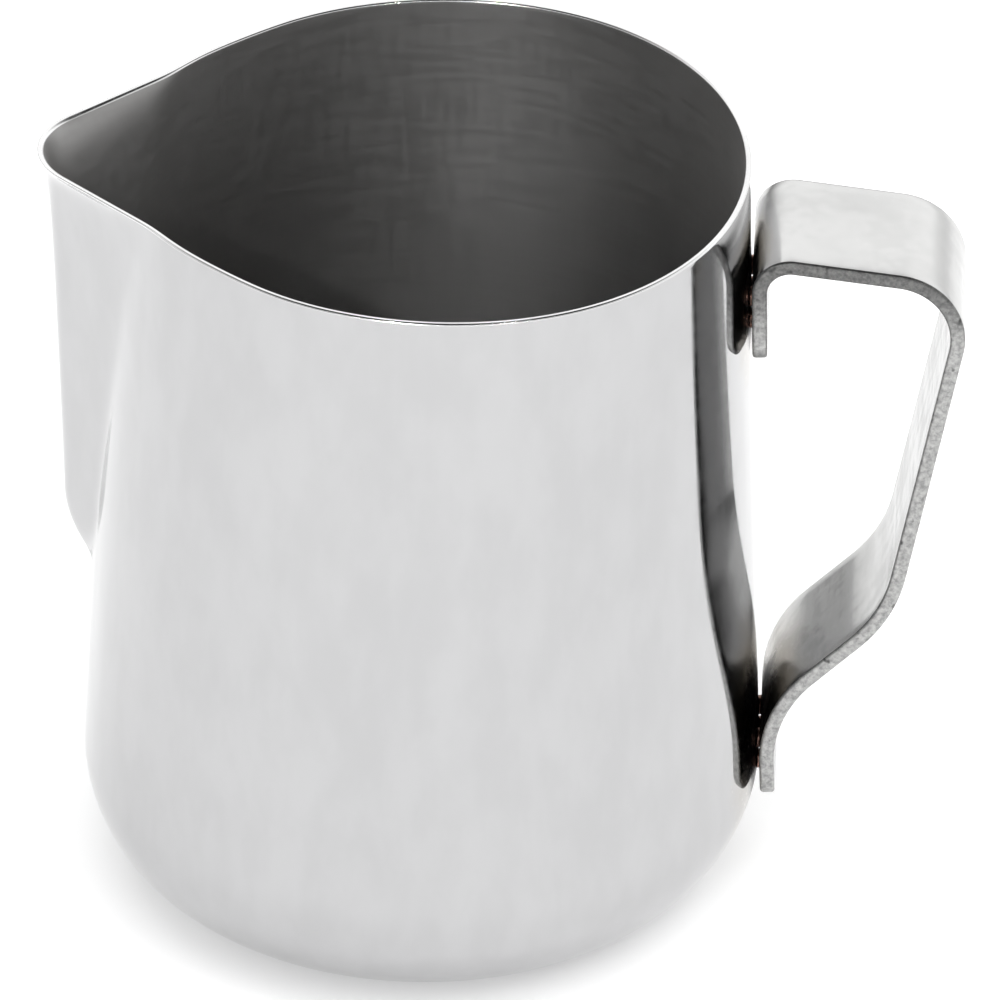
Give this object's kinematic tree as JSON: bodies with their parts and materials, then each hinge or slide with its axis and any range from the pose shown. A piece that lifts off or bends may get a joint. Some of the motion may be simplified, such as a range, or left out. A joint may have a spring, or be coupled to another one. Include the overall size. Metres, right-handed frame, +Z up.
{
  "type": "milk frothing pitcher",
  "caption": "Open stainless steel milk pitcher with a pressed V-shaped pouring spout, round base corner and a bent flat strap handle welded on opposite the spout.",
  "frame": {"origin": "middle of the flat ring that the pitcher stands on", "axes": "+Z up through the mouth, +X from the pitcher's axis to the handle, so the spout points along -X"},
  "size_m": [0.1187, 0.0878, 0.105],
  "materials": {
    "body_steel": "polished outside, satin inside",
    "strap_steel": "polished faces, matte sheared edges",
    "weld_metal": "heat-tinted weld metal"
  },
  "bodies": {
    "root": {"pitcher_body": "body_steel", "handle_strap": "strap_steel", "upper_weld_nuggets": "weld_metal", "lower_weld_nuggets": "weld_metal"}
  },
  "joints": []
}
